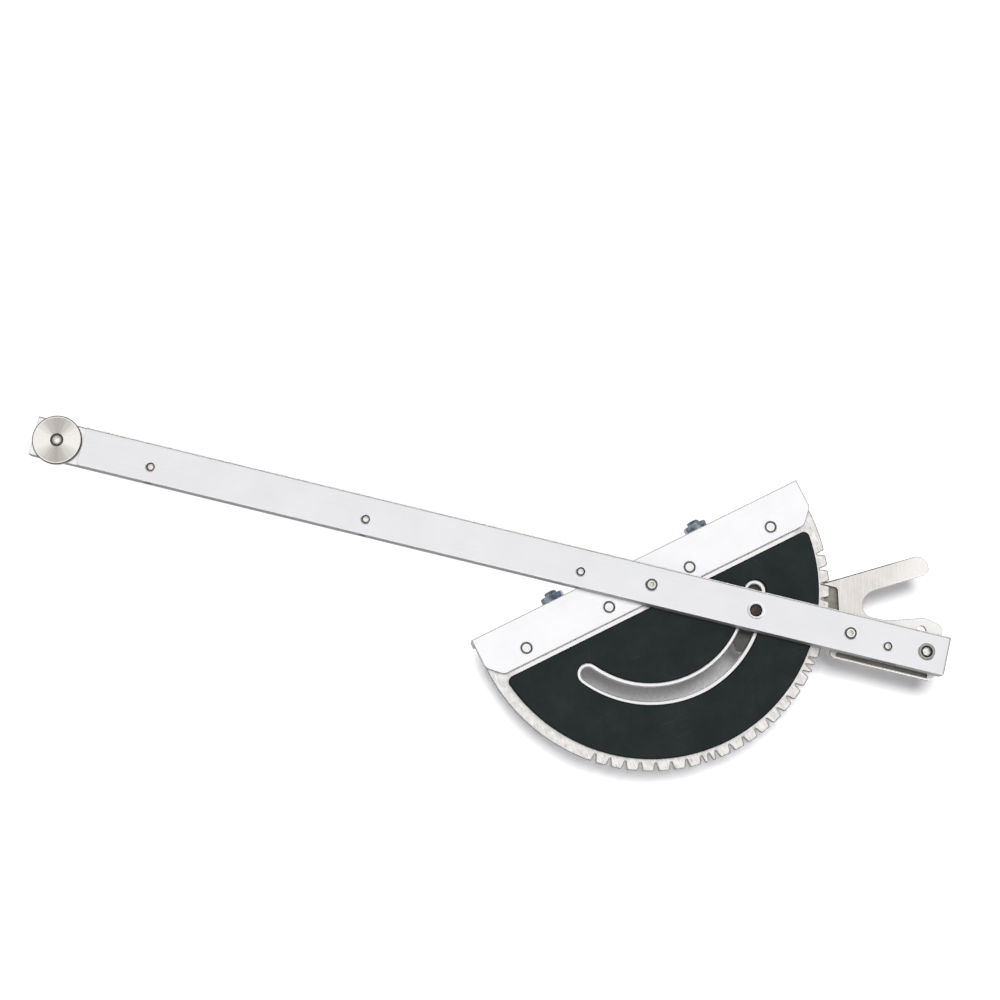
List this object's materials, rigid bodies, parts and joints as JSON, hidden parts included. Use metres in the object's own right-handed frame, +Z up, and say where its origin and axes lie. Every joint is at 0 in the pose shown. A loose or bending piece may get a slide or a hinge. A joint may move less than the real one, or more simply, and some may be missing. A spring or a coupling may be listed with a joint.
{
  "type": "miter gauge",
  "caption": "Table saw miter gauge: slot bar with a retaining disc, swinging toothed protractor head with an upright fence bracket, sprung index lever and lock knob.",
  "frame": {"origin": "on the head's pivot axis, in the plane of the bar's top face", "axes": "+X along the bar from the tongue end to the lever end, +Z up out of the saw table, +Y across the bar towards the side whose plugs press on the slot; the head is stored at its 50 degree stop"},
  "size_m": [0.4572, 0.159, 0.0598],
  "materials": {
    "bar": "satin anodised",
    "bracket": "fine satin",
    "plate_steel": "brushed",
    "lever_steel": "brushed",
    "turned_steel": "turned",
    "bright_screw": "satin",
    "black_screw": "black oxide",
    "set_screw": "satin",
    "spring_steel": "drawn wire",
    "zinc": "bright zinc",
    "brass": "machined",
    "pad": "matt, faintly scuffed",
    "plug": "matt",
    "knob": "fine grain"
  },
  "bodies": {
    "bar": {"miter_bar": "bar", "slot_disc": "turned_steel", "disc_screw": "black_screw", "pivot_bush": "brass", "pivot_screw": "bright_screw", "pivot_cap": "turned_steel", "lever_post": "turned_steel", "lever_screw": "black_screw", "stop_post": "turned_steel", "stop_screw": "black_screw", "lever_spring": "spring_steel", "pointer_plate": "plate_steel", "pointer_nuts": "zinc"},
    "head": {"protractor_plate": "plate_steel", "slide_pad": "pad", "fence_bracket": "bracket", "bracket_rivets": "bright_screw", "fence_bolts": "zinc", "fence_washers": "zinc", "fence_nuts": "zinc"},
    "lever": {"index_lever": "lever_steel"},
    "clamp": {"clamp_washer": "zinc"},
    "knob": {"lock_knob": "knob", "knob_insert": "brass", "lock_stud": "black_screw"},
    "adjuster_1": {"adjuster_screw_1": "set_screw"},
    "adjuster_2": {"adjuster_screw_2": "set_screw"},
    "adjuster_3": {"adjuster_screw_3": "set_screw"},
    "adjuster_4": {"adjuster_screw_4": "set_screw"},
    "plug_1": {"side_plug_1": "plug"},
    "plug_2": {"side_plug_2": "plug"},
    "plug_3": {"side_plug_3": "plug"},
    "plug_4": {"side_pad": "plug"}
  },
  "joints": [
    {"name": "head_swing", "type": "hinge", "parent": "bar", "child": "head", "pos_m": [0, 0, 0], "axis": [0, 0, 1], "range_deg": [-110, 10]},
    {"name": "lever_release", "type": "hinge", "parent": "bar", "child": "lever", "pos_m": [0.0996, 0, 0], "axis": [0, 0, 1], "range_deg": [0, 16], "stiffness_Nm_per_rad": 0.3, "springref_deg": -17.19, "deforming": ["lever_spring"]},
    {"name": "clamp_lift", "type": "slide", "parent": "bar", "child": "clamp", "axis": [0, 0, 1], "range_m": [0, 0.00075]},
    {"name": "knob_turn", "type": "hinge", "parent": "clamp", "child": "knob", "pos_m": [0.0523, 0, 0], "axis": [0, 0, 1], "range_deg": [0, 270]},
    {"name": "adjuster_1_turn", "type": "hinge", "parent": "bar", "child": "adjuster_1", "pos_m": [-0.25, 0.002, 0], "axis": [0, 0, 1], "range_deg": [0, 180]},
    {"name": "adjuster_2_turn", "type": "hinge", "parent": "bar", "child": "adjuster_2", "pos_m": [-0.1425, 0.002, 0], "axis": [0, 0, 1], "range_deg": [0, 180]},
    {"name": "adjuster_3_turn", "type": "hinge", "parent": "bar", "child": "adjuster_3", "pos_m": [-0.035, 0.002, 0], "axis": [0, 0, 1], "range_deg": [0, 180]},
    {"name": "adjuster_4_turn", "type": "hinge", "parent": "bar", "child": "adjuster_4", "pos_m": [0.1186, 0.002, 0], "axis": [0, 0, 1], "range_deg": [0, 180]},
    {"name": "plug_1_push", "type": "slide", "parent": "bar", "child": "plug_1", "axis": [0, 1, 0], "range_m": [0, 0.0003]},
    {"name": "plug_2_push", "type": "slide", "parent": "bar", "child": "plug_2", "axis": [0, 1, 0], "range_m": [0, 0.0003]},
    {"name": "plug_3_push", "type": "slide", "parent": "bar", "child": "plug_3", "axis": [0, 1, 0], "range_m": [0, 0.0003]},
    {"name": "plug_4_push", "type": "slide", "parent": "bar", "child": "plug_4", "axis": [0, 1, 0], "range_m": [0, 0.0003]}
  ],
  "couplings": [
    {"joint": "knob_turn", "follows": "clamp_lift", "rad_per_m": 6283},
    {"joint": "adjuster_1_turn", "follows": "plug_1_push", "rad_per_m": 10471},
    {"joint": "adjuster_2_turn", "follows": "plug_2_push", "rad_per_m": 10471},
    {"joint": "adjuster_3_turn", "follows": "plug_3_push", "rad_per_m": 10471},
    {"joint": "adjuster_4_turn", "follows": "plug_4_push", "rad_per_m": 10471}
  ]
}
